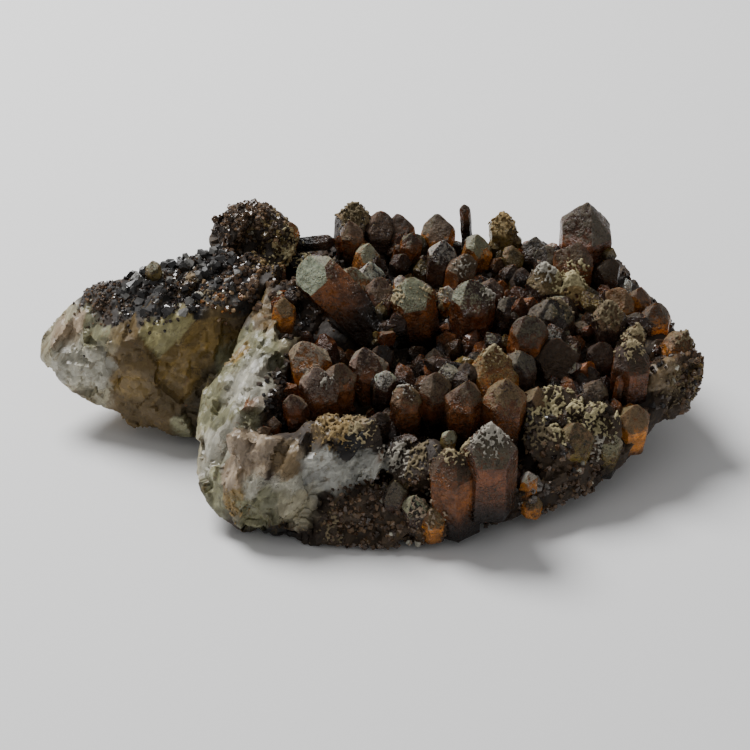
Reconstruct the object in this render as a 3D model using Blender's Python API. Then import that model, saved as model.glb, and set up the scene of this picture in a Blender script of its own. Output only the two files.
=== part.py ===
"""Quartz specimen: iron-stained quartz points grown on a loose piece of milky quartz.

The finished solid is in metres, +Z up, with the origin under the middle of the specimen. +X
runs along its length and -Y is its front. The sizes below are in millimetres, taken from the
front edge and the middle of the length, and the solid is centred once it is whole.
"""

import math
import random

import bmesh
import bpy
from mathutils import Euler, Matrix, Vector, noise

MM = 0.001

# Quartz: sides of a crystal, and the angle between a face of its point and its own axis
SIDES = 6
POINT_ANGLE = 38.2

# How far the broken rock swells from its hull, the size of that relief, and the longest edge
# its faces may have. It only swells, because a thin edge that sank would cross itself.
ROCK_RELIEF = 2.2
RELIEF_LEVEL = 0.3
ROCK_GRAIN = 13.0
ROCK_EDGE = 13.0
SMALL_ROCK_EDGE = 8.0

# How much the hull's sharp corners are worn, and how rough the relief is at finer scales
WEAR = 0.25
ROUGHNESS = 0.6
FINER = 2.0
SCALES = 3

# The matrix, as lumps of broken milky quartz. Each is the hull of its own corners, and each
# corner is one that the eye finds on the specimen.
BODY = [
    (-21, 22, -1), (-6, 15, -1), (12, 15, -1), (28, 26, -1), (34, 44, -1), (28, 64, -1),
    (8, 72, -1), (-14, 68, -1), (-25, 46, -1),
    (-40, 11, 4), (-28, 6.5, 1.5), (-18, 4.5, 1), (0, 2.5, 1), (17, 4, 2), (28, 8.5, 4),
    (39, 12.5, 6), (50, 17.5, 8), (60, 24, 10), (70, 34, 13), (76, 43, 17),
    (85, 50, 21), (88, 54, 25), (85, 62, 24), (80, 72, 26), (74, 86, 27), (68, 99, 30),
    (44, 104, 32), (14, 104, 34), (-10, 103, 34), (-34, 101, 34),
    (60, 92, 12), (72, 76, 14), (0, 92, 6), (-28, 88, 8), (30, 92, 8),
    (-46, 16, 11), (-48, 21, 13), (-48, 28, 16), (-40, 60, 16),
]
FLANK = [
    (-25, 73, 41), (-30.5, 65, 38), (-36, 52, 32), (-40.5, 42, 27.5), (-45, 38, 23),
    (-47, 30, 19), (-48, 21, 13.5), (-46, 17, 11), (-43, 12, 7), (-39, 10, 4),
    (-14, 72, 37), (-18, 60, 33), (-23, 44, 30), (-27, 34, 29), (-31, 22, 27),
    (-34, 14, 25), (-36, 10, 18), (-30, 8, 8), (-30, 20, 4), (-24, 60, 14), (-34, 60, 16),
]
WHITE_FRONT = [
    (-38, 16, 26), (-31, 13, 28), (-22, 13, 27.5), (-16, 12, 24), (-14, 8, 14),
    (-17, 5, 10), (-30, 5, 9), (-38, 8, 12), (-20, 4, 4), (-34, 6, 4),
    (-20, 24, 20), (-34, 24, 22),
]
WHITE_LUMP = [
    (-19, 12, 27), (-14, 18, 30.5), (-6, 18.5, 31), (-1, 17, 30), (1.6, 14, 26),
    (2, 12, 22), (0, 9, 18), (-4, 8, 15.5), (-12, 7.5, 13), (-18, 8, 12),
    (-20, 20, 24), (-4, 22, 24), (0, 19, 12), (-12, 20, 6), (-4, 22, 6),
]
LEFT_LOBE = [
    (-92.5, 65, 20), (-90, 71, 24), (-86, 75, 28), (-80.5, 73, 34), (-75, 73, 36),
    (-64, 74, 37.5), (-48, 82, 41), (-34, 80, 42), (-24, 78, 41),
    (-69, 55, 30), (-59, 58, 35), (-47, 61, 37), (-36.5, 63, 39),
    (-81, 61, 9), (-75, 58, 7), (-64, 54, 4.5), (-50, 50.5, 3), (-42, 48, 4),
    (-86, 63, 14), (-80, 80, 28), (-64, 86, 32), (-45, 92, 36), (-28, 90, 38),
    (-76, 76, 10), (-60, 82, 8), (-34, 84, 8),
]
DRUSE_KNOB = [
    (-45, 97, 46), (-43, 92, 44), (-38, 95, 48.5), (-32, 93, 50), (-28, 91, 49),
    (-24.5, 88, 45), (-24, 86, 40), (-26, 84, 34), (-40, 88, 33), (-45, 93, 33),
    (-44, 103, 40), (-30, 104, 44), (-22, 100, 40), (-24, 103, 30), (-44, 103, 30),
    (-46, 98, 38), (-34, 96, 18), (-26, 92, 20),
]
RIGHT_KNOB = [
    (73, 44, 22), (74, 42, 14), (80, 46, 14), (86, 50, 18), (89, 53, 24), (87, 52, 28),
    (80, 50, 28), (74, 48, 27), (80, 58, 26), (87, 60, 24), (74, 54, 14),
]
RIGHT_CRUST = [
    (39.5, 22, 20), (41, 30, 25), (47, 36, 28), (56, 34, 27), (60, 32, 25), (65, 32, 23),
    (66, 28, 19), (60, 25, 16), (50, 21, 17), (44, 19, 15), (42, 34, 6), (62, 38, 9),
    (48, 25, 5),
]
FRONT_CRUST = [
    (1, 14, 19), (3, 18, 22), (10, 19, 24), (17, 16, 25), (18, 11, 22), (12, 9, 19),
    (4, 10, 17), (8, 13, 3), (16, 16, 3), (2, 22, 4), (18, 24, 4),
]
RIGHT_LEDGE = [
    (26, 8.5, 10), (31, 7, 10), (42, 13, 9), (44, 17, 13), (52, 20, 13.5), (60, 25, 14),
    (68, 31, 15), (62, 25, 9), (50, 17.5, 7), (41, 12, 4), (29, 6.5, 4), (46, 32, 4),
    (70, 36, 10), (28, 20, 3),
]
FRONT_LEDGE = [
    (-18, 6, 11), (-5, 8, 13), (6, 5, 10), (16, 4, 9), (22, 4, 9), (20, 2.5, 3), (2, 1.5, 2),
    (-18, 4, 2), (-14, 16, 3), (16, 17, 3), (-12, 11, 13), (12, 11, 12),
]
LARGE_ROCKS = (BODY, LEFT_LOBE)
SMALL_ROCKS = (
    FLANK, WHITE_FRONT, WHITE_LUMP, DRUSE_KNOB, RIGHT_KNOB, RIGHT_CRUST, FRONT_CRUST,
    RIGHT_LEDGE, FRONT_LEDGE)

# The crystals, row by row from the front edge to the back. Each has its tip (x, y, z), its
# width, its length, how far it leans to the right and to the front, and the side that its
# broadest face looks to: 0 is the front, 90 the right. Angles are in degrees.
FRONT_EDGE = [
    (30, 9.5, 35, 15.5, 27, 2, 2, 10),
    (19, 7, 28.5, 14, 26, -4, 6, -10),
    (19.5, 16, 28.5, 5, 10, 10, 5, 0),
    (19.5, 14, 25.5, 6, 10, 5, 5, 20),
    (10, 5, 15.5, 8, 13, 0, 10, 0),
    (5, 8, 18, 8, 14, -5, 8, 0),
    (7, 11, 18, 5, 10, 0, 5, 10),
    (16.5, 4, 12.5, 7.5, 10, 5, 8, 0),
    (40.5, 14.5, 16.5, 5.5, 9, 5, 5, 20),
    (41, 13, 10, 6, 6, 10, 5, 0),
    (-26.5, 25, 27, 4.5, 10, 5, 5, 0),
    (-29.5, 21, 26.5, 4.5, 10, 0, 8, 0),
    (-29, 16, 26, 4.5, 9, 0, 5, 0),
    (34, 18, 24, 8, 14, 8, 4, 30),
]
CENTRE_FRONT = [
    (8, 30, 33.6, 9.5, 20, 0, 8, 10),
    (15.5, 32, 36, 9.5, 22, 5, 5, 25),
    (24.5, 28.5, 36, 10.5, 24, 3, 6, 0),
    (34.5, 28.5, 36.8, 12.5, 26, 3, 6, 15),
    (31.5, 40, 39.5, 15, 24, 0, 5, 0),
    (38.5, 41, 37.5, 9, 22, 8, 0, 40),
    (24, 38, 35.5, 8, 20, -5, 5, -20),
    (18.5, 37, 36, 6.5, 20, -14, 0, 0),
    (13, 42, 33.5, 5, 14, -70, 0, 0),
    (43, 33, 31, 8, 16, 10, 6, 20),
    (2, 27, 27, 6, 12, 0, 8, 0),
]
LEFT_CENTRE = [
    (-19.4, 45, 37.6, 12.5, 22, -2, 5, 0),
    (-16, 35, 36, 12.5, 24, 2, 5, 5),
    (-10.5, 37, 35.5, 10, 22, 5, 0, 10),
    (-3, 44, 36.5, 11.5, 22, 0, 6, 0),
    (2.5, 38, 33, 7, 18, 5, 5, 0),
    (-25, 58, 43, 7, 18, 4, 0, 20),
    (-12, 52, 31, 7, 14, 6, 4, 0),
    (-22, 28, 32, 7, 16, -4, 6, 0),
]
MIDDLE = [
    (-21, 70, 46, 13.5, 34, -46, -14, -10),
    (-7.3, 70, 45.2, 10.5, 24, 3, 2, 0),
    (2.4, 68, 43.3, 10, 24, 4, 0, 10),
    (7, 70, 43, 6, 18, 4, 0, 20),
    (8.5, 64, 45.7, 12, 28, -8, 4, 25),
    (25, 64, 45.1, 12.5, 28, 2, 4, -8),
    (31.4, 71, 41.5, 8, 22, 5, 0, 10),
    (36, 66, 38.5, 8, 20, 8, 4, 20),
    (40, 52, 41.2, 11, 24, 4, 8, 0),
    (46.3, 74, 44.4, 11.5, 28, 2, 4, 0),
    (47, 60, 40.6, 6, 16, -8, 0, -30),
    (50.2, 60, 41, 13.5, 28, 4, 8, 0),
    (49, 50, 35.5, 14, 24, 0, 10, 10),
    (62.5, 62, 39.5, 10, 26, 3, 5, 0),
    (66, 72, 38, 11, 24, 6, 4, -20),
    (70.5, 57, 35.5, 7.5, 22, 8, 2, 10),
    (71.5, 73, 37, 7, 20, 6, 0, 20),
    (53.5, 74, 41.5, 11.5, 22, 2, 4, 0),
    (60, 52, 33, 8.5, 18, 2, 4, 0),
    (33, 56, 33, 7, 16, 4, 6, 0),
    (16, 52, 31, 7, 14, -4, 6, 0),
    (3, 53, 31.5, 7, 14, 4, 6, 0),
    (28, 50, 31, 7, 14, 0, 8, 0),
    (62, 73, 36, 8, 18, 4, 2, 0),
    (57, 46, 29, 8, 14, 6, 6, 0),
]
RIGHT = [
    (67.8, 44, 38.3, 11.5, 26, 3, 5, 10),
    (76, 68, 35.5, 9.5, 24, 2, 4, 0),
    (84, 58, 32.7, 10.5, 20, 22, 6, 20),
    (86.5, 53, 26.5, 5, 10, 25, 5, 30),
    (60, 40, 29, 8.5, 18, 14, 6, 0),
    (56, 34, 29, 8, 16, 6, 8, 0),
    (52.5, 25, 25, 10.5, 18, 4, 12, 0),
    (61.5, 27.5, 19.5, 7.5, 14, 8, 12, 0),
    (68.5, 34, 24.5, 10.5, 15, 6, 12, 10),
    (78, 61, 28, 7.5, 12, 10, 0, 0),
    (62, 34, 25, 7, 14, 6, 8, 0),
]
BACK = [
    (-7, 92, 47, 7.5, 22, -6, 4, 15),
    (-6.5, 100, 48, 11, 24, 4, 0, 0),
    (1, 99, 46, 11, 24, 6, 0, 10),
    (-1.5, 86, 43.5, 7.5, 18, 12, 4, 10),
    (6, 100, 44.5, 9, 20, 0, 0, 0),
    (10.5, 92, 43, 7, 18, 14, 4, 20),
    (17, 99, 45, 10, 22, 0, 0, 0),
    (18, 86, 44, 9.5, 20, 6, 4, 20),
    (25.5, 82, 42.6, 9.5, 22, 8, 4, 25),
    (24.5, 100, 47.5, 3.6, 22, -4, 0, 0),
    (28, 90, 44, 8.5, 20, 10, 4, 30),
    (35, 98, 46, 8.5, 22, -4, 0, -10),
    (37.5, 88, 41.5, 7, 18, 8, 4, 20),
    (44, 92, 42, 8, 18, 0, 0, 0),
    (46.5, 88, 41.6, 8.5, 18, -12, 6, -20),
    (58, 92, 53, 16, 34, 1, 2, -20),
    (55.5, 82, 46.3, 12, 26, 4, 8, -15),
    (63, 82, 40.5, 8, 20, 6, 4, 0),
    (-22.8, 93, 46, 5, 18, 2, 0, 0),
    (-10, 94, 39, 5, 13, 84, 0, 0),
    (-12.5, 88, 37.5, 4.5, 11, 84, 0, 0),
    (-1.5, 80, 41, 9.5, 20, 0, 6, 0),
    (12, 75, 37, 8, 16, 2, 8, 0),
    (20, 76, 36, 7, 14, 4, 6, 0),
    (40, 82, 38, 8, 16, 6, 4, 0),
    (-14, 80, 38, 7, 14, -6, 4, 0),
    (52, 90, 38, 8, 16, -10, 4, 0),
    (-60.5, 76, 44, 5, 14, -12, 0, -30),
]
POINTS = FRONT_EDGE + CENTRE_FRONT + LEFT_CENTRE + MIDDLE + RIGHT + BACK

# How far the faces of a point differ from each other, as shares of its width, how much a
# prism tapers, and how far its broadest face may turn from where it looks, in degrees
FACE_SPREAD = 0.24
BROAD_FACE = 0.07
TAPER = 0.92
TURN_SPREAD = 20.0
SEED = 7

# The level of the flat spot the specimen rests on
FLOOR = 0.0

# Faces that meet within this angle, in degrees, are one flat face
FLAT_ANGLE = 0.8


def clear_scene():
    for item in list(bpy.data.objects):
        bpy.data.objects.remove(item, do_unlink=True)


def stone_material():
    material = bpy.data.materials.new("iron_stained_quartz")
    material.use_nodes = True
    shader = material.node_tree.nodes["Principled BSDF"]
    shader.inputs["Base Color"].default_value = (0.30, 0.19, 0.12, 1.0)
    shader.inputs["Roughness"].default_value = 0.45
    shader.inputs["Metallic"].default_value = 0.0
    return material


def rock(corners, longest):
    """A lump of broken quartz: the hull of its corners, cut finer and given relief."""
    lump = bmesh.new()
    for corner in corners:
        lump.verts.new(corner)
    hull = bmesh.ops.convex_hull(lump, input=lump.verts)
    spare = {v for v in hull["geom_interior"] if isinstance(v, bmesh.types.BMVert)}
    bmesh.ops.delete(lump, geom=list(spare), context="VERTS")
    long_edges = [e for e in lump.edges if e.calc_length() > longest]
    while long_edges:
        bmesh.ops.subdivide_edges(lump, edges=long_edges, cuts=1)
        bmesh.ops.triangulate(lump, faces=lump.faces, quad_method="SHORT_EDGE")
        long_edges = [e for e in lump.edges if e.calc_length() > longest]
    bmesh.ops.smooth_vert(lump, verts=lump.verts, factor=WEAR, use_axis_x=True,
                          use_axis_y=True, use_axis_z=True)
    bmesh.ops.recalc_face_normals(lump, faces=lump.faces)
    lump.normal_update()
    for vert in lump.verts:
        relief = noise.fractal(vert.co / ROCK_GRAIN, ROUGHNESS, FINER, SCALES)
        vert.co += vert.normal * max(0.0, RELIEF_LEVEL + relief) * ROCK_RELIEF
    cut = bmesh.ops.bisect_plane(
        lump, geom=list(lump.verts) + list(lump.edges) + list(lump.faces),
        plane_co=(0, 0, FLOOR), plane_no=(0, 0, -1), clear_outer=True)
    rim = [e for e in cut["geom_cut"] if isinstance(e, bmesh.types.BMEdge)]
    if rim:
        bmesh.ops.edgeloop_fill(lump, edges=rim)
    return lump


def point(tip, width, length, lean, facing, chance):
    """One quartz crystal: a six-sided prism whose end is cut by six slanting faces."""
    radius = width / 2
    crystal = bmesh.new()
    flats_first = Matrix.Rotation(math.pi / SIDES, 4, "Z")
    bmesh.ops.create_cone(
        crystal, cap_ends=True, segments=SIDES, radius1=radius, radius2=radius * TAPER,
        depth=2 * length, matrix=flats_first)
    flat = math.radians(90 - POINT_ANGLE)
    for side in range(SIDES):
        turn = 2 * math.pi * side / SIDES - math.pi / 2
        outward = Vector((math.cos(turn) * math.sin(flat), math.sin(turn) * math.sin(flat),
                          math.cos(flat)))
        lift = -BROAD_FACE if side == 0 else chance.uniform(0, FACE_SPREAD)
        cut = bmesh.ops.bisect_plane(
            crystal, geom=list(crystal.verts) + list(crystal.edges) + list(crystal.faces),
            plane_co=(0, 0, lift * width), plane_no=outward, clear_outer=True)
        rim = [e for e in cut["geom_cut"] if isinstance(e, bmesh.types.BMEdge)]
        if rim:
            bmesh.ops.edgeloop_fill(crystal, edges=rim)
    peak = max(crystal.verts, key=lambda vert: vert.co.z).co.copy()
    lowest = min(vert.co.z for vert in crystal.verts)
    bmesh.ops.translate(crystal, verts=crystal.verts, vec=-peak)
    foot = [v for v in crystal.verts if v.co.z < (lowest - peak.z) / 2]
    for vert in foot:
        vert.co.z = -length
    lean_right, lean_front = (math.radians(a) for a in lean)
    turn = Euler((lean_front, lean_right, 0)).to_matrix()
    facing += chance.uniform(-TURN_SPREAD, TURN_SPREAD)
    turn = turn @ Matrix.Rotation(math.radians(facing), 3, "Z")
    bmesh.ops.rotate(crystal, verts=crystal.verts, cent=(0, 0, 0), matrix=turn)
    bmesh.ops.translate(crystal, verts=crystal.verts, vec=tip)
    return crystal


def add_solid(name, shape):
    """Put one closed shape into an object, in metres."""
    bmesh.ops.scale(shape, verts=shape.verts, vec=(MM, MM, MM))
    bmesh.ops.triangulate(shape, faces=shape.faces)
    bmesh.ops.recalc_face_normals(shape, faces=shape.faces)
    mesh = bpy.data.meshes.new(name)
    shape.to_mesh(mesh)
    shape.free()
    return bpy.data.objects.new(name, mesh)


def shells(mesh):
    """The closed shells of a mesh, each a set of its faces."""
    left = set(mesh.faces)
    found = []
    while left:
        shell = set()
        edge_of_shell = [left.pop()]
        while edge_of_shell:
            face = edge_of_shell.pop()
            shell.add(face)
            near = {f for e in face.edges for f in e.link_faces if f in left}
            left -= near
            edge_of_shell += near
        found.append(shell)
    return found


def grow_together(first, others):
    """Join overlapping solids in the first one, with no sealed pockets left inside."""
    growth = bpy.data.collections.new("growth")
    for other in others:
        growth.objects.link(other)
    union = first.modifiers.new("grown together", "BOOLEAN")
    union.operation = "UNION"
    union.operand_type = "COLLECTION"
    union.collection = growth
    evaluated = first.evaluated_get(bpy.context.evaluated_depsgraph_get())
    solid = bmesh.new()
    solid.from_mesh(evaluated.data)
    first.modifiers.clear()
    for other in others:
        bpy.data.objects.remove(other, do_unlink=True)
    bpy.data.collections.remove(growth)
    outer = max(shells(solid), key=len)
    pockets = [face for face in solid.faces if face not in outer]
    bmesh.ops.delete(solid, geom=pockets, context="FACES")
    bmesh.ops.dissolve_limit(
        solid, verts=solid.verts, edges=solid.edges, angle_limit=math.radians(FLAT_ANGLE))
    bmesh.ops.triangulate(solid, faces=solid.faces)
    solid.to_mesh(first.data)
    solid.free()


def centre(item):
    """Bring the middle of the object's length and depth over the origin."""
    ends = [[vert.co[axis] for vert in item.data.vertices] for axis in range(2)]
    middle = [(min(reach) + max(reach)) / 2 for reach in ends]
    item.data.transform(Matrix.Translation((-middle[0], -middle[1], 0)))


def build():
    clear_scene()
    chance = random.Random(SEED)
    rocks = [rock(corners, ROCK_EDGE) for corners in LARGE_ROCKS]
    rocks += [rock(corners, SMALL_ROCK_EDGE) for corners in SMALL_ROCKS]
    crystals = [
        point((x, y, z), width, length, (right, front), facing, chance)
        for x, y, z, width, length, right, front, facing in POINTS
    ]
    cluster = add_solid("quartz_cluster", rocks[0])
    cluster.data.materials.append(stone_material())
    bpy.context.scene.collection.objects.link(cluster)
    grow_together(cluster, [add_solid("growth", shape) for shape in rocks[1:] + crystals])
    centre(cluster)


build()
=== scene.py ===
import math
import random

import bmesh
import bpy
import numpy as np
from mathutils import Euler, Matrix, Vector, noise
from mathutils.bvhtree import BVHTree
from mathutils.kdtree import KDTree


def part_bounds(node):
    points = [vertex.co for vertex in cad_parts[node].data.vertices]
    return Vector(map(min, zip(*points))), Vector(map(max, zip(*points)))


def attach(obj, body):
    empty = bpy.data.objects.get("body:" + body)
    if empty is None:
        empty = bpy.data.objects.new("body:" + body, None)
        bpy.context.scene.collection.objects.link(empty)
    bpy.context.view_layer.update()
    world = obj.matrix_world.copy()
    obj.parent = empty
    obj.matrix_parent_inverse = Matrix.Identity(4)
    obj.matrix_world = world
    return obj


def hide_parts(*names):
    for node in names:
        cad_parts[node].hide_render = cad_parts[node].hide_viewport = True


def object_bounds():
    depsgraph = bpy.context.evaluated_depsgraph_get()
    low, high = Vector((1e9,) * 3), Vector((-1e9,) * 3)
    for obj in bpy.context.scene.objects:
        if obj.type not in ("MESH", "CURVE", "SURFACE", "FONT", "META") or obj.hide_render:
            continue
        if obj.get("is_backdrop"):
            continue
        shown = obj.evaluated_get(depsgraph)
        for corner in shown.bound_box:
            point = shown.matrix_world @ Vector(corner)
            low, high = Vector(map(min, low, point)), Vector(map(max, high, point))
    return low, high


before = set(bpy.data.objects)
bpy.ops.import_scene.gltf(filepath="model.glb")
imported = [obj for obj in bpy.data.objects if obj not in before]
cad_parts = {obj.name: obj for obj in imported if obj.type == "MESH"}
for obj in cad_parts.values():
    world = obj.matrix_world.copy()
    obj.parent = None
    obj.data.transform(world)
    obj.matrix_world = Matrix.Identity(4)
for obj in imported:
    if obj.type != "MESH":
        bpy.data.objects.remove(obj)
size_of_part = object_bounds()

# The matrix: a boat-shaped piece of milky quartz broken off its vein, waxy, cracked and
# stained by iron, with the points grown on its upper side. Overlapping lumps, each the hull
# of its own corners, are made one skin and broken into flat chips. All sizes are in mm.
MM = 0.001
ROCK_RELIEF = 2.2
RELIEF_LEVEL = 0.3
ROCK_GRAIN = 13.0
ROCK_EDGE = 13.0
SMALL_ROCK_EDGE = 8.0
WEAR = 0.25
ROUGHNESS = 0.6
FINER = 2.0
SCALES = 3
FLOOR = 0.0
DOWN = Vector((0, 0, -1))
BODY = [
    (-21, 22, -1), (-6, 15, -1), (12, 15, -1), (28, 26, -1), (34, 44, -1), (28, 64, -1),
    (8, 72, -1), (-14, 68, -1), (-25, 46, -1),
    (-40, 11, 4), (-28, 6.5, 1.5), (-18, 4.5, 1), (0, 2.5, 1), (17, 4, 2), (28, 8.5, 4),
    (39, 12.5, 6), (50, 17.5, 8), (60, 24, 10), (70, 34, 13), (76, 43, 17),
    (85, 50, 21), (88, 54, 25), (85, 62, 24), (80, 72, 26), (74, 86, 27), (68, 99, 30),
    (44, 104, 32), (14, 104, 34), (-10, 103, 34), (-34, 101, 34),
    (60, 92, 12), (72, 76, 14), (0, 92, 6), (-28, 88, 8), (30, 92, 8),
    (-46, 16, 11), (-48, 21, 13), (-48, 28, 16), (-40, 60, 16),
]
FLANK = [
    (-25, 73, 41), (-30.5, 65, 38), (-36, 52, 32), (-40.5, 42, 27.5), (-45, 38, 23),
    (-47, 30, 19), (-48, 21, 13.5), (-46, 17, 11), (-43, 12, 7), (-39, 10, 4),
    (-14, 72, 37), (-18, 60, 33), (-23, 44, 30), (-27, 34, 29), (-31, 22, 27),
    (-34, 14, 25), (-36, 10, 18), (-30, 8, 8), (-30, 20, 4), (-24, 60, 14), (-34, 60, 16),
]
WHITE_FRONT = [
    (-38, 16, 26), (-31, 13, 28), (-22, 13, 27.5), (-16, 12, 24), (-14, 8, 14),
    (-17, 5, 10), (-30, 5, 9), (-38, 8, 12), (-20, 4, 4), (-34, 6, 4),
    (-20, 24, 20), (-34, 24, 22),
]
WHITE_LUMP = [
    (-19, 12, 27), (-14, 18, 30.5), (-6, 18.5, 31), (-1, 17, 30), (1.6, 14, 26),
    (2, 12, 22), (0, 9, 18), (-4, 8, 15.5), (-12, 7.5, 13), (-18, 8, 12),
    (-20, 20, 24), (-4, 22, 24), (0, 19, 12), (-12, 20, 6), (-4, 22, 6),
]
LEFT_LOBE = [
    (-92.5, 65, 20), (-90, 71, 24), (-86, 75, 28), (-80.5, 73, 34), (-75, 73, 36),
    (-64, 74, 37.5), (-48, 82, 41), (-34, 80, 42), (-24, 78, 41),
    (-69, 55, 30), (-59, 58, 35), (-47, 61, 37), (-36.5, 63, 39),
    (-81, 61, 9), (-75, 58, 7), (-64, 54, 4.5), (-50, 50.5, 3), (-42, 48, 4),
    (-86, 63, 14), (-80, 80, 28), (-64, 86, 32), (-45, 92, 36), (-28, 90, 38),
    (-76, 76, 10), (-60, 82, 8), (-34, 84, 8),
]
DRUSE_KNOB = [
    (-45, 97, 46), (-43, 92, 44), (-38, 95, 48.5), (-32, 93, 50), (-28, 91, 49),
    (-24.5, 88, 45), (-24, 86, 40), (-26, 84, 34), (-40, 88, 33), (-45, 93, 33),
    (-44, 103, 40), (-30, 104, 44), (-22, 100, 40), (-24, 103, 30), (-44, 103, 30),
    (-46, 98, 38), (-34, 96, 18), (-26, 92, 20),
]
RIGHT_KNOB = [
    (73, 44, 22), (74, 42, 14), (80, 46, 14), (86, 50, 18), (89, 53, 24), (87, 52, 28),
    (80, 50, 28), (74, 48, 27), (80, 58, 26), (87, 60, 24), (74, 54, 14),
]
RIGHT_CRUST = [
    (39.5, 22, 20), (41, 30, 25), (47, 36, 28), (56, 34, 27), (60, 32, 25), (65, 32, 23),
    (66, 28, 19), (60, 25, 16), (50, 21, 17), (44, 19, 15), (42, 34, 6), (62, 38, 9),
    (48, 25, 5),
]
FRONT_CRUST = [
    (1, 14, 19), (3, 18, 22), (10, 19, 24), (17, 16, 25), (18, 11, 22), (12, 9, 19),
    (4, 10, 17), (8, 13, 3), (16, 16, 3), (2, 22, 4), (18, 24, 4),
]
RIGHT_LEDGE = [
    (26, 8.5, 10), (31, 7, 10), (42, 13, 9), (44, 17, 13), (52, 20, 13.5), (60, 25, 14),
    (68, 31, 15), (62, 25, 9), (50, 17.5, 7), (41, 12, 4), (29, 6.5, 4), (46, 32, 4),
    (70, 36, 10), (28, 20, 3),
]
FRONT_LEDGE = [
    (-18, 6, 11), (-5, 8, 13), (6, 5, 10), (16, 4, 9), (22, 4, 9), (20, 2.5, 3), (2, 1.5, 2),
    (-18, 4, 2), (-14, 16, 3), (16, 17, 3), (-12, 11, 13), (12, 11, 12),
]
LARGE_ROCKS = (BODY, LEFT_LOBE)
SMALL_ROCKS = (
    FLANK, WHITE_FRONT, WHITE_LUMP, DRUSE_KNOB, RIGHT_KNOB, RIGHT_CRUST, FRONT_CRUST,
    RIGHT_LEDGE, FRONT_LEDGE)
TALLEST_TIP = Vector((58, 92, 53))
SKIN_CELL = 0.72
LARGE_CHIP = 9.5
LARGE_DEPTH = 1.7
LARGE_TILT = 0.34
SMALL_CHIP = 3.6
SMALL_DEPTH = 0.5
SMALL_TILT = 0.2
RAISED_SHARE = 0.3
LEAST_FACING = 0.4
STREAK_LINE = Vector((0.48, 0.79, 0.38)).normalized()
STREAK_STRETCH = 0.42
RIB_DEPTH = 0.6
RIB_WIDTH = 3.4
RIB_STRETCH = 0.22
RIB_LEVEL = 0.55
RIB_STEEPNESS = 1.6
FINE_RELIEF = 0.07
FINE_GRAIN = 1.5
SHARP_BREAK = math.radians(24)
QUARTZ_IOR = 1.54

# The colours of the stone and its stains, and the stains from the first to the last laid on,
# each with its middle, its reach and its colour
CREAM = (0.33, 0.295, 0.195)
MILK = (0.39, 0.37, 0.295)
PEARL = (0.37, 0.365, 0.325)
GREENISH = (0.225, 0.215, 0.125)
HONEY = (0.118, 0.074, 0.021)
GOLD = (0.21, 0.133, 0.033)
STRAW = (0.42, 0.37, 0.17)
OLIVE = (0.062, 0.045, 0.018)
UMBER = (0.030, 0.018, 0.010)
EARTH = (0.052, 0.032, 0.016)
PINKISH = (0.31, 0.235, 0.160)
TAN = (0.20, 0.140, 0.072)
RUST = (0.19, 0.070, 0.015)
NEAR_BLACK = (0.010, 0.008, 0.007)
SMOKE = (0.045, 0.039, 0.035)
STAIN_WANDER = 7.0
STAIN_RAGGED = 0.28
STAIN_SOFTNESS = 0.3
CHIP_SHADE = 0.86
CHIP_SHADE_SPREAD = 0.24
STAINS = (
    (0, 55, 10, 90, UMBER),
    (-58, 70, 16, 42, HONEY),
    (-86, 63, 23, 19, CREAM),
    (-78, 62, 29, 8, GREENISH),
    (-77, 57, 15, 9, CREAM),
    (-88, 62, 24, 5, TAN),
    (-82, 60, 20, 9, MILK),
    (-76, 58, 22, 7, MILK),
    (-84, 66, 30, 6, PINKISH),
    (-49, 56, 27, 14, GOLD),
    (-62, 54, 12, 12, HONEY),
    (-66, 55, 18, 6, GOLD),
    (-47, 50, 9, 12, OLIVE),
    (-53, 50, 7, 5, GREENISH),
    (-42, 53, 20, 9, OLIVE),
    (-56, 59, 33, 6.5, STRAW),
    (-72, 65, 35, 6, UMBER),
    (-60, 74, 41, 19, NEAR_BLACK),
    (-73, 74, 39, 10, SMOKE),
    (-44, 76, 44, 18, NEAR_BLACK),
    (-50, 73, 40, 4, TAN),
    (-37, 90, 46, 16, UMBER),
    (-35, 48, 31, 12, GREENISH),
    (-40, 33, 25, 16, GREENISH),
    (-46, 24, 16, 9, CREAM),
    (-34, 34, 30, 9, MILK),
    (-29, 52, 36, 8, CREAM),
    (-41, 20, 19, 9, MILK),
    (-40, 12, 13, 9, GREENISH),
    (-32, 13, 23, 8, PINKISH),
    (-36, 10, 18, 6, PINKISH),
    (-30, 6, 16, 7, MILK),
    (-20, 7, 17, 8, MILK),
    (-22, 10, 22, 5, TAN),
    (-37, 7, 12, 5, GOLD),
    (-30, 5, 9, 9, GREENISH),
    (-20, 5, 10, 6, CREAM),
    # A near-black patch low at the front, where a hollow lies in shade: painted shade.
    (-26, 6, 2, 6, NEAR_BLACK),
    (-4, 5, 7, 13, EARTH),
    (12, 5, 8, 14, EARTH),
    (-15, 11, 22, 6, PEARL),
    (-9, 10, 20, 8, PEARL),
    (-2, 10, 21, 6, PEARL),
    (-9, 16, 31, 8, TAN),
    (-12, 12, 26.5, 3.5, UMBER),
    (-5, 12, 26.5, 4, NEAR_BLACK),
    (0, 14, 28, 4, UMBER),
    (2, 11, 23, 3, RUST),
    (-38, 46, 30, 4, GOLD),
    (-40, 62, 36, 6, HONEY),
    (-31, 30, 28, 3, RUST),
    (-28, 62, 39, 6, HONEY),
    (50, 28, 22, 18, EARTH),
    (82, 50, 22, 13, EARTH),
    (78, 48, 24, 6, TAN),
    (88, 53, 22, 6, GOLD),
)

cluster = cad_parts["quartz_cluster"]
part_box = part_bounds("quartz_cluster")
highest = max(cluster.data.vertices, key=lambda vert: vert.co.z)
place = Matrix.Translation(highest.co - TALLEST_TIP * MM) @ Matrix.Scale(MM, 4)


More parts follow.
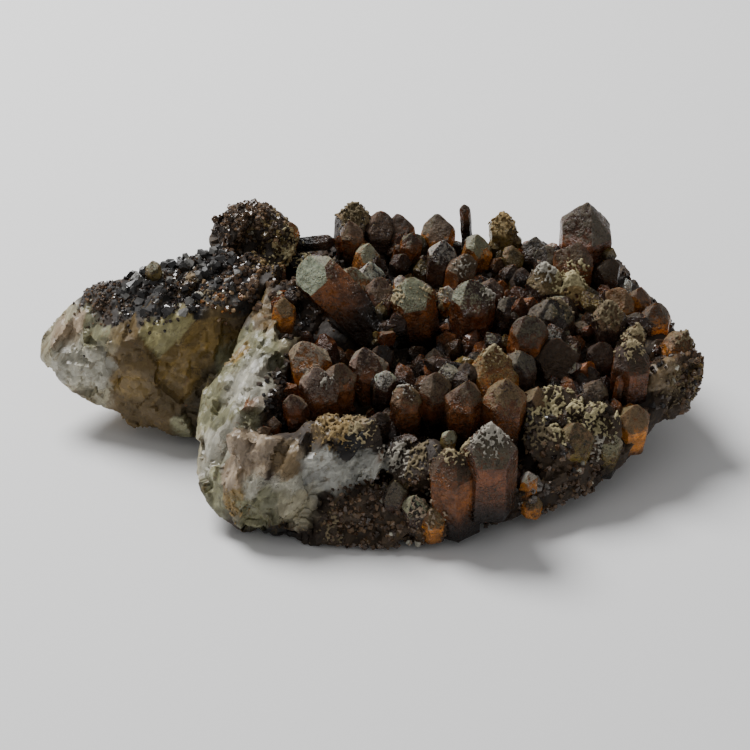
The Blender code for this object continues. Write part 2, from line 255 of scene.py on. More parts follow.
def cut_finer(shape, longest):
    """Halve the long edges of a shape until none is longer than this."""
    long_edges = [e for e in shape.edges if e.calc_length() > longest]
    while long_edges:
        bmesh.ops.subdivide_edges(shape, edges=long_edges, cuts=1)
        bmesh.ops.triangulate(shape, faces=shape.faces, quad_method="SHORT_EDGE")
        long_edges = [e for e in shape.edges if e.calc_length() > longest]


def wear_down(shape, share):
    """Draw the corners of a shape in by this share."""
    bmesh.ops.smooth_vert(shape, verts=shape.verts, factor=share, use_axis_x=True,
                          use_axis_y=True, use_axis_z=True)


def cut_off(shape, middle, outward):
    """Cut away what lies past a plane, and close the cut."""
    cut = bmesh.ops.bisect_plane(
        shape, geom=list(shape.verts) + list(shape.edges) + list(shape.faces),
        plane_co=middle, plane_no=outward, clear_outer=True)
    rim = [e for e in cut["geom_cut"] if isinstance(e, bmesh.types.BMEdge)]
    if rim:
        bmesh.ops.edgeloop_fill(shape, edges=rim)


def rock(corners, longest):
    """A lump of broken quartz: the hull of its corners, cut finer and given relief."""
    lump = bmesh.new()
    for corner in corners:
        lump.verts.new(corner)
    hull = bmesh.ops.convex_hull(lump, input=lump.verts)
    spare = {v for v in hull["geom_interior"] if isinstance(v, bmesh.types.BMVert)}
    bmesh.ops.delete(lump, geom=list(spare), context="VERTS")
    cut_finer(lump, longest)
    wear_down(lump, WEAR)
    bmesh.ops.recalc_face_normals(lump, faces=lump.faces)
    lump.normal_update()
    for vert in lump.verts:
        relief = noise.fractal(vert.co / ROCK_GRAIN, ROUGHNESS, FINER, SCALES)
        vert.co += vert.normal * max(0.0, RELIEF_LEVEL + relief) * ROCK_RELIEF
    cut_off(lump, (0, 0, FLOOR), DOWN)
    return lump


def gathered(shapes):
    """The shapes put together in one, each used up as it comes."""
    whole = bmesh.new()
    for shape in shapes:
        holder = bpy.data.meshes.new("holder")
        shape.to_mesh(holder)
        shape.free()
        whole.from_mesh(holder)
        bpy.data.meshes.remove(holder)
    return whole


def as_object(name, shape):
    """A shape made an object of the scene, and used up by it."""
    mesh = bpy.data.meshes.new(name)
    shape.to_mesh(mesh)
    shape.free()
    made = bpy.data.objects.new(name, mesh)
    bpy.context.scene.collection.objects.link(made)
    return made


def piece_of(name, shape):
    """A shape as a piece of the scene, in metres, in the part's own place and in its box."""
    shape.transform(place)
    for vert in shape.verts:
        vert.co = [min(max(c, low), high) for c, low, high in zip(vert.co, *part_box)]
    shape.normal_update()
    return as_object(name, shape)


def shade_smooth(piece):
    """Light a piece as a rounded surface, not face by face."""
    for face in piece.data.polygons:
        face.use_smooth = True


def one_skin(shape, cell):
    """One closed skin round overlapping shapes, in millimetres."""
    holder = as_object("overlapping", shape)
    mesh = holder.data
    wrap = holder.modifiers.new("one skin", "REMESH")
    wrap.mode = "VOXEL"
    wrap.voxel_size = cell
    evaluated = holder.evaluated_get(bpy.context.evaluated_depsgraph_get())
    skin = bmesh.new()
    skin.from_mesh(evaluated.to_mesh())
    bpy.data.objects.remove(holder, do_unlink=True)
    bpy.data.meshes.remove(mesh)
    return skin


def astray(chance, spread):
    """A small random shift to all sides."""
    return Vector([chance.gauss(0, spread) for _ in range(3)])


def chip(shape, spacing, depth, tilt, chance):
    """Break a fine skin into flat chips. Gives back the middle of each vertex's chip."""
    shape.normal_update()
    stretch = Matrix.Scale(STREAK_STRETCH, 3, STREAK_LINE)
    area = sum(face.calc_area() for face in shape.faces)
    shape.verts.ensure_lookup_table()
    middles = [shape.verts[chance.randrange(len(shape.verts))]
               for _ in range(int(area / spacing ** 2))]
    nearest = KDTree(len(middles))
    planes = []
    for number, vert in enumerate(middles):
        nearest.insert(stretch @ vert.co, number)
        planes.append((vert.co.copy(), (vert.normal + astray(chance, tilt)).normalized()))
    nearest.balance()
    chosen = [planes[nearest.find(stretch @ vert.co)[1]] for vert in shape.verts]
    for vert, (middle, across) in zip(shape.verts, chosen):
        facing = max(LEAST_FACING, across.dot(vert.normal))
        gap = across.dot(middle - vert.co) / facing
        vert.co += vert.normal * max(-depth, min(depth * RAISED_SHARE, gap))
    return np.array([middle for middle, _ in chosen])


def rib(shape, depth, width):
    """Cut long shallow hollows along the streaks of the broken quartz."""
    shape.normal_update()
    stretch = Matrix.Scale(RIB_STRETCH, 3, STREAK_LINE)
    for vert in shape.verts:
        crest = abs(noise.noise(stretch @ vert.co / width))
        vert.co -= vert.normal * depth * max(0.0, RIB_LEVEL - RIB_STEEPNESS * crest)


def roughen(shape, grain, relief):
    """Give a fine skin small relief, outward and inward."""
    shape.normal_update()
    for vert in shape.verts:
        vert.co += vert.normal * relief * noise.fractal(vert.co / grain, 0.8, 2.1, 4)


def stained(places):
    """The colour of the stone at each of these places, in millimetres."""
    colours = np.tile(np.array(UMBER), (len(places), 1))
    edge = np.array([noise.fractal(Vector(p) / STAIN_WANDER, 0.8, 2.1, 3) for p in places])
    for x, y, z, reach, colour in STAINS:
        away = np.linalg.norm(places - np.array((x, y, z)), axis=1) / reach
        share = np.clip((1.0 - away - STAIN_RAGGED * edge) / STAIN_SOFTNESS, 0, 1)[:, None]
        share = share * share * (3 - 2 * share)
        colours = colours + (np.array(colour) - colours) * share
    return colours


def keep_colours(mesh, name, colours):
    """Store one colour for each vertex of a mesh."""
    layer = mesh.attributes.new(name, "FLOAT_COLOR", "POINT")
    whole = np.ones((len(colours), 4), np.float32)
    whole[:, :3] = colours
    layer.data.foreach_set("color", whole.ravel())


def places_of(shape):
    """Where the vertices of a shape are."""
    return np.array([vert.co for vert in shape.verts])


class Value:
    """A number or colour inside a finish, which sums can be done with."""

    def __init__(self, finish, socket):
        self.finish = finish
        self.socket = socket

    def sum_of(self, operation, first, second):
        return self.finish.node("Math", {"operation": operation}, {0: first, 1: second})

    def __add__(self, other):
        return self.sum_of("ADD", self, other)

    def __radd__(self, other):
        return self.sum_of("ADD", other, self)

    def __sub__(self, other):
        return self.sum_of("SUBTRACT", self, other)

    def __rsub__(self, other):
        return self.sum_of("SUBTRACT", other, self)

    def __mul__(self, other):
        return self.sum_of("MULTIPLY", self, other)

    def __rmul__(self, other):
        return self.sum_of("MULTIPLY", other, self)

    def step(self, low, high):
        """0 below low and 1 above high, or the other way round, with a soft change between."""
        return self.finish.node(
            "MapRange", {"interpolation_type": "SMOOTHSTEP"},
            {"Value": self, "From Min": low, "From Max": high})

    def times(self, share):
        """A colour made brighter or darker."""
        return self.finish.node("VectorMath", {"operation": "SCALE"},
                                {"Vector": self, "Scale": share})

    def brightness(self):
        """How bright a colour is, as one number."""
        return self.finish.node("RGBToBW", {}, {0: self})


class Finish:
    """A material that is made node by node."""

    def __init__(self, name):
        self.material = bpy.data.materials.new(name)
        self.material.use_nodes = True
        self.tree = self.material.node_tree
        self.shader = self.tree.nodes["Principled BSDF"]
        self.here = self.node("TexCoord", {}, {}, "Object")

    def node(self, kind, settings, values, output=0):
        """Add a node: its settings first, then its inputs. The answer is one output."""
        made = self.tree.nodes.new("ShaderNode" + kind)
        for setting, value in settings.items():
            setattr(made, setting, value)
        for socket, value in values.items():
            self.give(made.inputs[socket], value)
        return Value(self, made.outputs[output])

    def give(self, socket, value):
        """Link a value to a socket, or set the socket to a constant."""
        if isinstance(value, Value):
            self.tree.links.new(value.socket, socket)
        elif isinstance(value, tuple) and socket.type == "RGBA":
            socket.default_value = value + (1.0,)
        else:
            socket.default_value = value

    def looks(self, **inputs):
        """Set the shader's own inputs, with spaces in their names written as _."""
        for name, value in inputs.items():
            self.give(self.shader.inputs[name.replace("_", " ")], value)

    def kept(self, name):
        """A colour stored on the mesh."""
        return self.node("Attribute", {"attribute_name": name}, {}, "Color")

    def number(self, name):
        """A number stored on the mesh."""
        return self.node("Attribute", {"attribute_name": name}, {}, "Fac")

    def mix(self, share, first, second):
        """Two colours mixed, with this share of the second."""
        return self.node("Mix", {"data_type": "RGBA"}, {0: share, 6: first, 7: second}, 2)

    def cloud(self, size, detail=3.0, roughness=0.6, bend=0.0, where=None):
        """Noise with features of this size in millimetres."""
        return self.node("TexNoise", {}, {
            "Vector": where or self.here, "Scale": 1 / (size * MM), "Detail": detail,
            "Roughness": roughness, "Distortion": bend})

    def drawn_out(self, line, share):
        """The place, squeezed along a line, so that what is drawn there is longer along it."""
        along = self.node("VectorMath", {"operation": "DOT_PRODUCT"}, {
            0: self.here, 1: tuple(line)}, "Value")
        back = self.node("VectorMath", {"operation": "SCALE"}, {
            "Vector": tuple(line), "Scale": along * share})
        return self.node("VectorMath", {"operation": "SUBTRACT"}, {0: self.here, 1: back})

    def cracks(self, size, width):
        """Thin wandering lines, 1 on the line."""
        bent = self.node("Mix", {"data_type": "VECTOR"}, {
            0: 0.012, 4: self.here, 5: self.node("TexNoise", {}, {
                "Vector": self.here, "Scale": 1 / (size * 0.5 * MM)}, "Color")}, 1)
        cells = self.node("TexVoronoi", {"feature": "DISTANCE_TO_EDGE"}, {
            "Vector": bent, "Scale": 1 / (size * MM)})
        return cells.step(width, 0.0)

    def facets(self, size, tilt, under=None):
        """Flat breaks of this size in millimetres, each tilted its own way."""
        middle = self.node("TexVoronoi", {}, {
            "Vector": self.here, "Scale": 1 / (size * MM)}, "Position")
        own_colour = Value(self, middle.socket.node.outputs["Color"])
        away = self.node("VectorMath", {"operation": "SUBTRACT"}, {0: self.here, 1: middle})
        slope = self.node("VectorMath", {"operation": "SUBTRACT"}, {
            0: own_colour, 1: (0.5, 0.5, 0.5)})
        height = self.node("VectorMath", {"operation": "DOT_PRODUCT"}, {0: away, 1: slope},
                           "Value")
        return self.bump(height * (tilt / MM), 1.0, 1.0, under)

    def bump(self, height, depth, strength=1.0, under=None):
        """Relief of this depth in millimetres, on top of what lies under it."""
        values = {"Height": height, "Distance": depth * MM, "Strength": strength}
        if under is not None:
            values["Normal"] = under
        return self.node("Bump", {}, values)


chance = random.Random(3)
lumps = [rock(corners, ROCK_EDGE) for corners in LARGE_ROCKS]
lumps += [rock(corners, SMALL_ROCK_EDGE) for corners in SMALL_ROCKS]
skin = one_skin(gathered(lumps), SKIN_CELL)
large_chips = chip(skin, LARGE_CHIP, LARGE_DEPTH, LARGE_TILT, chance)
rib(skin, RIB_DEPTH, RIB_WIDTH)
small_chips = chip(skin, SMALL_CHIP, SMALL_DEPTH, SMALL_TILT, chance)
roughen(skin, FINE_GRAIN, FINE_RELIEF)
for vert in skin.verts:
    vert.co.z = max(vert.co.z, FLOOR)
stone_colours = stained(0.4 * places_of(skin) + 0.3 * small_chips + 0.3 * large_chips)
shades = np.array([noise.cell(Vector(chip_middle) * 1.7) for chip_middle in small_chips])
stone_colours *= (CHIP_SHADE + CHIP_SHADE_SPREAD * shades)[:, None]
matrix = piece_of("matrix", skin)
keep_colours(matrix.data, "stain", stone_colours)
matrix.data.set_sharp_from_angle(angle=SHARP_BREAK)

stone = Finish("milky_quartz")
stain = stone.kept("stain")
cloudy = stone.cloud(9.0, 4.0)
fine = stone.cloud(1.4, 5.0, 0.65)
dust = stone.cloud(0.45, 3.0, 0.7)
streak = stone.cloud(1.5, 4.0, 0.62, 0.3, stone.drawn_out(STREAK_LINE, 0.8))
colour = stain.times(0.66 + 0.70 * cloudy)
colour = colour.times(0.80 + 0.40 * fine)
pale = streak.step(0.50, 0.66)
colour = colour.times(1.0 + 0.45 * pale)
veins = streak.step(0.46, 0.36) * cloudy.step(0.40, 0.62)
colour = stone.mix(veins * 0.65, colour, HONEY)
rusty = stone.cloud(4.0, 6.0, 0.72, 1.0).step(0.60, 0.72)
colour = stone.mix(rusty * 0.45, colour, RUST)
lines = stone.cracks(6.5, 0.03) * stone.cloud(8.0).step(0.46, 0.58)
colour = stone.mix(lines * 0.6, colour, UMBER)
specks = dust.step(0.64, 0.70) * stone.cloud(5.0, 2.0).step(0.54, 0.66)
colour = stone.mix(specks * 0.8, colour, UMBER)
dark = stain.brightness().step(0.12, 0.04)
relief = stone.facets(2.6, 0.35)
relief = stone.bump(streak, 0.45, 0.6, relief)
relief = stone.bump(fine, 0.14, 0.5, relief)
stone.looks(
    Base_Color=colour, Roughness=0.20 + 0.36 * fine + 0.3 * dark, Normal=relief,
    Specular_IOR_Level=0.4, IOR=QUARTZ_IOR, Subsurface_Weight=0.15,
    Subsurface_Radius=(0.0020, 0.0016, 0.0010), Subsurface_Scale=1.0)
matrix.data.materials.append(stone.material)
shade_smooth(matrix)
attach(matrix, "root")
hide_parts("quartz_cluster")

# The points: six-sided quartz crystals, glassy red-brown to amber inside, with a dull film of
# dust and clay on the faces that look up, made paler on those faces also as a painted sheen of
# the light from above. Each is a prism cut by six slanting faces, worn at its edges, and stands
# with its foot in the matrix. Their colour also holds painted light: an amber glow part way down
# the body, painted shade that darkens them towards their feet, and a painted highlight along the
# worn edges near the tip.
SIDES = 6
POINT_ANGLE = 38.2
FACE_SPREAD = 0.24
BROAD_FACE = 0.07
TAPER = 0.92
TURN_SPREAD = 20.0
SEED = 7
SHADE_SEED = 11

# A row has its tip, width, length, lean to the right and the front, the side its broadest
# face looks to, its film and its body
FRONT_EDGE = [
    (30, 9.5, 35, 15.5, 27, 2, 2, 10, "grey", "red"),
    (19, 7, 28.5, 14, 26, -4, 6, -10, "brown", "rust"),
    (19.5, 16, 28.5, 5, 10, 10, 5, 0, "green", "olive"),
    (19.5, 14, 25.5, 6, 10, 5, 5, 20, "tan", "olive"),
    (10, 5, 15.5, 8, 13, 0, 10, 0, "green", "plum"),
    (5, 8, 18, 8, 14, -5, 8, 0, "grey", "plum"),
    (7, 11, 18, 5, 10, 0, 5, 10, "tan", "brown"),
    (16.5, 4, 12.5, 7.5, 10, 5, 8, 0, "tan", "amber"),
    (40.5, 14.5, 16.5, 5.5, 9, 5, 5, 20, "white", "amber"),
    (41, 13, 10, 6, 6, 10, 5, 0, "tan", "amber"),
    (-26.5, 25, 27, 4.5, 10, 5, 5, 0, "pink", "rust"),
    (-29.5, 21, 26.5, 4.5, 10, 0, 8, 0, "pink", "rust"),
    (-29, 16, 26, 4.5, 9, 0, 5, 0, "pink", "rust"),
    (34, 18, 24, 8, 14, 8, 4, 30, "brown", "plum"),
]
CENTRE_FRONT = [
    (8, 30, 33.6, 9.5, 20, 0, 8, 10, "tan", "rust"),
    (15.5, 32, 36, 9.5, 22, 5, 5, 25, "pink", "red"),
    (24.5, 28.5, 36, 10.5, 24, 3, 6, 0, "pink", "rust"),
    (34.5, 28.5, 36.8, 12.5, 26, 3, 6, 15, "tan", "rust"),
    (31.5, 40, 39.5, 15, 24, 0, 5, 0, "ochre", "amber"),
    (38.5, 41, 37.5, 9, 22, 8, 0, 40, "grey", "plum"),
    (24, 38, 35.5, 8, 20, -5, 5, -20, "brown", "plum"),
    (18.5, 37, 36, 6.5, 20, -14, 0, 0, "green", "plum"),
    (13, 42, 33.5, 5, 14, -70, 0, 0, "brown", "plum"),
    (43, 33, 31, 8, 16, 10, 6, 20, "tan", "plum"),
    (2, 27, 27, 6, 12, 0, 8, 0, "brown", "plum"),
]
LEFT_CENTRE = [
    (-19.4, 45, 37.6, 12.5, 22, -2, 5, 0, "blush", "amber"),
    (-16, 35, 36, 12.5, 24, 2, 5, 5, "blush", "rust"),
    (-10.5, 37, 35.5, 10, 22, 5, 0, 10, "pink", "rust"),
    (-3, 44, 36.5, 11.5, 22, 0, 6, 0, "blush", "rust"),
    (2.5, 38, 33, 7, 18, 5, 5, 0, "white", "plum"),
    (-25, 58, 43, 7, 18, 4, 0, 20, "tan", "amber"),
    (-12, 52, 31, 7, 14, 6, 4, 0, "brown", "plum"),
    (-22, 28, 32, 7, 16, -4, 6, 0, "pink", "red"),
]
MIDDLE = [
    (-21, 70, 46, 13.5, 34, -46, -14, -10, "green", "rust"),
    (-7.3, 70, 45.2, 10.5, 24, 3, 2, 0, "green", "amber"),
    (2.4, 68, 43.3, 10, 24, 4, 0, 10, "pink", "red"),
    (7, 70, 43, 6, 18, 4, 0, 20, "white", "amber"),
    (8.5, 64, 45.7, 12, 28, -8, 4, 25, "green", "rust"),
    (25, 64, 45.1, 12.5, 28, 2, 4, -8, "green", "red"),
    (31.4, 71, 41.5, 8, 22, 5, 0, 10, "pink", "red"),
    (36, 66, 38.5, 8, 20, 8, 4, 20, "grey", "plum"),
    (40, 52, 41.2, 11, 24, 4, 8, 0, "grey", "rust"),
    (46.3, 74, 44.4, 11.5, 28, 2, 4, 0, "tan", "plum"),
    (47, 60, 40.6, 6, 16, -8, 0, -30, "grey", "plum"),
    (50.2, 60, 41, 13.5, 28, 4, 8, 0, "grey", "plum"),
    (49, 50, 35.5, 14, 24, 0, 10, 10, "brown", "plum"),
    (62.5, 62, 39.5, 10, 26, 3, 5, 0, "tan", "plum"),
    (66, 72, 38, 11, 24, 6, 4, -20, "tan", "amber"),
    (70.5, 57, 35.5, 7.5, 22, 8, 2, 10, "tan", "plum"),
    (71.5, 73, 37, 7, 20, 6, 0, 20, "pink", "amber"),
    (53.5, 74, 41.5, 11.5, 22, 2, 4, 0, "ochre", "rust"),
    (60, 52, 33, 8.5, 18, 2, 4, 0, "brown", "plum"),
    (33, 56, 33, 7, 16, 4, 6, 0, "brown", "plum"),
    (16, 52, 31, 7, 14, -4, 6, 0, "brown", "plum"),
    (3, 53, 31.5, 7, 14, 4, 6, 0, "brown", "plum"),
    (28, 50, 31, 7, 14, 0, 8, 0, "grey", "plum"),
    (62, 73, 36, 8, 18, 4, 2, 0, "grey", "olive"),
    (57, 46, 29, 8, 14, 6, 6, 0, "brown", "plum"),
]
RIGHT = [
    (67.8, 44, 38.3, 11.5, 26, 3, 5, 10, "brown", "red"),
    (76, 68, 35.5, 9.5, 24, 2, 4, 0, "grey", "amber"),
    (84, 58, 32.7, 10.5, 20, 22, 6, 20, "tan", "amber"),
    (86.5, 53, 26.5, 5, 10, 25, 5, 30, "grey", "plum"),
    (60, 40, 29, 8.5, 18, 14, 6, 0, "pink", "plum"),
    (56, 34, 29, 8, 16, 6, 8, 0, "brown", "plum"),
    (52.5, 25, 25, 10.5, 18, 4, 12, 0, "tan", "olive"),
    (61.5, 27.5, 19.5, 7.5, 14, 8, 12, 0, "green", "olive"),
    (68.5, 34, 24.5, 10.5, 15, 6, 12, 10, "tan", "amber"),
    (78, 61, 28, 7.5, 12, 10, 0, 0, "brown", "plum"),
    (62, 34, 25, 7, 14, 6, 8, 0, "brown", "plum"),
]
BACK = [
    (-7, 92, 47, 7.5, 22, -6, 4, 15, "pink", "rust"),
    (-6.5, 100, 48, 11, 24, 4, 0, 0, "tan", "plum"),
    (1, 99, 46, 11, 24, 6, 0, 10, "pink", "plum"),
    (-1.5, 86, 43.5, 7.5, 18, 12, 4, 10, "green", "amber"),
    (6, 100, 44.5, 9, 20, 0, 0, 0, "brown", "rust"),
    (10.5, 92, 43, 7, 18, 14, 4, 20, "grey", "rust"),
    (17, 99, 45, 10, 22, 0, 0, 0, "grey", "amber"),
    (18, 86, 44, 9.5, 20, 6, 4, 20, "white", "plum"),
    (25.5, 82, 42.6, 9.5, 22, 8, 4, 25, "pink", "rust"),
    (24.5, 100, 47.5, 3.6, 22, -4, 0, 0, "brown", "rust"),
    (28, 90, 44, 8.5, 20, 10, 4, 30, "green", "amber"),
    (35, 98, 46, 8.5, 22, -4, 0, -10, "ochre", "olive"),
    (37.5, 88, 41.5, 7, 18, 8, 4, 20, "tan", "olive"),
    (44, 92, 42, 8, 18, 0, 0, 0, "grey", "plum"),
    (46.5, 88, 41.6, 8.5, 18, -12, 6, -20, "grey", "plum"),
    (58, 92, 53, 16, 34, 1, 2, -20, "grey", "red"),
    (55.5, 82, 46.3, 12, 26, 4, 8, -15, "pink", "rust"),
    (63, 82, 40.5, 8, 20, 6, 4, 0, "brown", "plum"),
    (-22.8, 93, 46, 5, 18, 2, 0, 0, "tan", "amber"),
    (-10, 94, 39, 5, 13, 84, 0, 0, "brown", "plum"),
    (-12.5, 88, 37.5, 4.5, 11, 84, 0, 0, "brown", "plum"),
    (-1.5, 80, 41, 9.5, 20, 0, 6, 0, "white", "plum"),
    (12, 75, 37, 8, 16, 2, 8, 0, "grey", "amber"),
    (20, 76, 36, 7, 14, 4, 6, 0, "white", "amber"),
    (40, 82, 38, 8, 16, 6, 4, 0, "brown", "olive"),
    (-14, 80, 38, 7, 14, -6, 4, 0, "grey", "plum"),
    (52, 90, 38, 8, 16, -10, 4, 0, "brown", "plum"),
    (-60.5, 76, 44, 5, 14, -12, 0, -30, "green", "olive"),
]
POINTS = FRONT_EDGE + CENTRE_FRONT + LEFT_CENTRE + MIDDLE + RIGHT + BACK
FILMS = {
    "blush": (0.23, 0.175, 0.125),
    "pink": (0.125, 0.084, 0.050), "green": (0.27, 0.262, 0.180), "grey": (0.112, 0.094, 0.064),
    "tan": (0.175, 0.118, 0.056), "white": (0.38, 0.365, 0.30), "brown": (0.058, 0.035, 0.019),
    "ochre": (0.26, 0.175, 0.070),
}
BODIES = {
    "red": (0.066, 0.020, 0.005), "rust": (0.094, 0.031, 0.007), "amber": (0.25, 0.092, 0.014),
    "plum": (0.024, 0.013, 0.009), "olive": (0.085, 0.060, 0.018), "brown": (0.045, 0.022, 0.010),
}
SUGAR = (0.095, 0.054, 0.026)
LEAST_SLANT = 0.3
FILM_ON_TIP = 0.28
# Film added on faces by how far they look up: dust, and a painted sheen of the light from above
FILM_AND_SHEEN_FACING_UP = 0.36
FILM_ON_SIDE = 0.04
FILM_SPREAD = 0.22
POINT_EDGE = 1.3
POINT_WEAR = 0.5
CREST_WEAR = 0.30
SWELL = 0.04
SWELL_LENGTH = 1.8
POINT_RELIEF = 0.2
POINT_GRAIN = 2.4
RELIEF_SINK = 0.6
SHADE_DEPTH = 1.75
SHARP_EDGE = math.radians(32)


def leaning(right, front):
    """The turn that leans a point this many degrees to the right and to the front."""
    return Euler((math.radians(front), math.radians(right), 0)).to_matrix()


def point(tip, width, length, lean, facing, chance):
    """One quartz crystal: a six-sided prism whose end is cut by six slanting faces."""
    radius = width / 2
    crystal = bmesh.new()
    flats_first = Matrix.Rotation(math.pi / SIDES, 4, "Z")
    bmesh.ops.create_cone(
        crystal, cap_ends=True, segments=SIDES, radius1=radius, radius2=radius * TAPER,
        depth=2 * length, matrix=flats_first)
    flat = math.radians(90 - POINT_ANGLE)
    for side in range(SIDES):
        turn = 2 * math.pi * side / SIDES - math.pi / 2
        outward = Vector((math.cos(turn) * math.sin(flat), math.sin(turn) * math.sin(flat),
                          math.cos(flat)))
        lift = -BROAD_FACE if side == 0 else chance.uniform(0, FACE_SPREAD)
        cut_off(crystal, (0, 0, lift * width), outward)
    peak = max(crystal.verts, key=lambda vert: vert.co.z).co.copy()
    lowest = min(vert.co.z for vert in crystal.verts)
    bmesh.ops.translate(crystal, verts=crystal.verts, vec=-peak)
    foot = [v for v in crystal.verts if v.co.z < (lowest - peak.z) / 2]
    for vert in foot:
        vert.co.z = -length
    facing += chance.uniform(-TURN_SPREAD, TURN_SPREAD)
    turn = leaning(*lean) @ Matrix.Rotation(math.radians(facing), 3, "Z")
    bmesh.ops.rotate(crystal, verts=crystal.verts, cent=(0, 0, 0), matrix=turn)
    bmesh.ops.translate(crystal, verts=crystal.verts, vec=tip)
    return crystal


def coloured(crystal, axis, film, body, chance):
    """Store on each face of a crystal how much film it has, and its two colours."""
    covers = crystal.faces.layers.float.new("film")
    film_colours = crystal.faces.layers.float_color.new("film_colour")
    body_colours = crystal.faces.layers.float_color.new("body_colour")
    crystal.normal_update()
    for face in crystal.faces:
        cover = FILM_ON_SIDE
        if axis.dot(face.normal) > LEAST_SLANT:
            # Faces that look up get more film: partly dust that settles there, partly a painted
            # sheen of the light from above.
            cover = FILM_ON_TIP + FILM_AND_SHEEN_FACING_UP * face.normal.z
        face[covers] = cover + chance.uniform(-FILM_SPREAD, FILM_SPREAD)
        glow = chance.uniform(0.75, 1.3)
        face[film_colours] = tuple(c * chance.uniform(0.92, 1.08) for c in FILMS[film]) + (1.0,)
        face[body_colours] = tuple(c * glow for c in BODIES[body]) + (1.0,)


def worn(crystal, longest, tip, axis, width):
    """Cut a crystal fine, wear its edges, swell its middle and give it slight relief, and
    store how worn and how deep below the tip each spot is."""
    bmesh.ops.triangulate(crystal, faces=crystal.faces)
    cut_finer(crystal, longest)
    sharp = [vert.co.copy() for vert in crystal.verts]
    wear_down(crystal, POINT_WEAR)
    crystal.normal_update()
    depths = crystal.verts.layers.float.new("depth")
    crests = crystal.verts.layers.float.new("crest")
    for vert, corner in zip(crystal.verts, sharp):
        vert[crests] = min(1.0, max(0.0, (corner - vert.co).length / CREST_WEAR - 0.25))
        below = axis.dot(tip - vert.co)
        outward = vert.co - tip + axis * below
        swell = SWELL * math.sin(math.pi * min(1.0, below / (SWELL_LENGTH * width)))
        relief = noise.fractal(vert.co / POINT_GRAIN, 0.7, 2.1, 3) - RELIEF_SINK
        vert.co += outward * swell + vert.normal * POINT_RELIEF * relief
        vert[depths] = min(1.0, max(0.0, below / (SHADE_DEPTH * width)))
    return crystal


chance = random.Random(SEED)
shade_chance = random.Random(SHADE_SEED)
crystals = []
for x, y, z, width, length, right, front, facing, film, body in POINTS:
    tip = Vector((x, y, z))
    crystal = point(tip, width, length, (right, front), facing, chance)
    axis = leaning(right, front) @ -DOWN
    coloured(crystal, axis, film, body, shade_chance)
    crystals.append(worn(crystal, POINT_EDGE, tip, axis, width))
front_rows = len(FRONT_EDGE) + len(CENTRE_FRONT) + len(LEFT_CENTRE)
front_points = piece_of("front_points", gathered(crystals[:front_rows]))
back_points = piece_of("back_points", gathered(crystals[front_rows:]))

glass = Finish("stained_glassy_quartz")
body_colour = glass.kept("body_colour")
film_colour = glass.kept("film_colour")
film = glass.number("film")
depth = glass.number("depth")
crest = glass.number("crest")
blotch = glass.cloud(3.4, 4.0, 0.6)
patchy = glass.cloud(1.5, 5.0, 0.7)
grit = glass.cloud(0.40, 3.0, 0.75)
sugar = glass.cloud(0.75, 2.0, 0.6, 0.4)
# A painted glow: the body is brightened towards amber part way below the tip, as light through
# the glass would show; nothing there gives light.
glow = depth.step(0.12, 0.42) * depth.step(0.95, 0.60)
inside = body_colour.times((0.25 + 1.3 * blotch) * (0.55 + 1.3 * glow))
inside = glass.mix(glow * blotch.step(0.42, 0.62) * 0.75, inside, body_colour.times(2.9))
crusted = glass.cloud(6.0, 4.0, 0.65).step(0.47, 0.56) * depth.step(0.10, 0.30)
grains_on = crusted * sugar.step(0.44, 0.58)
inside = glass.mix(grains_on * 0.62, inside, SUGAR)
over = film + 1.5 * (patchy - 0.5) + 0.7 * (grit - 0.5) - 0.5 * depth.step(0.2, 0.6)
over = over.step(0.22, 0.46)
dusty = film_colour.times((0.5 + 1.0 * grit) * (0.62 + 0.76 * blotch))
colour = glass.mix(over * 0.92, inside, dusty)
# Pale worn edges near the tip: partly wear, partly a painted highlight along the crests.
edge = crest.step(0.15, 0.8) * patchy.step(0.40, 0.58) * depth.step(0.6, 0.2)
colour = glass.mix(edge * 0.6, colour, film_colour.times(1.7))
crumbs = grit.step(0.60, 0.68) * blotch.step(0.48, 0.62)
colour = glass.mix(crumbs * 0.6, colour, TAN)
dark_lines = glass.cracks(3.2, 0.045) * patchy.step(0.42, 0.54)
colour = glass.mix(dark_lines * 0.9, colour, NEAR_BLACK)
pits = glass.cloud(0.8, 2.0, 0.6).step(0.38, 0.30)
colour = glass.mix(pits * 0.75, colour, NEAR_BLACK)
# Painted shade: the points darken towards their feet, deep among their neighbours.
colour = colour.times(1.0 - 0.85 * depth.step(0.45, 1.0))
relief = glass.facets(1.3, 0.45)
relief = glass.bump(patchy, 0.55, 0.7, relief)
relief = glass.bump(sugar * (0.3 + crusted), 0.55, 0.8, relief)
relief = glass.bump(grit, 0.12, 0.7, relief)
glass.looks(
    Base_Color=colour, Roughness=0.16 + 0.34 * over + 0.25 * patchy, Normal=relief,
    Specular_IOR_Level=0.3, Coat_Weight=0.22 * (1.0 - over), Coat_Roughness=0.10, IOR=QUARTZ_IOR,
    Subsurface_Weight=0.16, Subsurface_Radius=(0.0022, 0.0009, 0.0003), Subsurface_Scale=1.0)
for points in (front_points, back_points):
    shade_smooth(points)
    points.data.set_sharp_from_angle(angle=SHARP_EDGE)
    points.data.materials.append(glass.material)
    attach(points, "root")

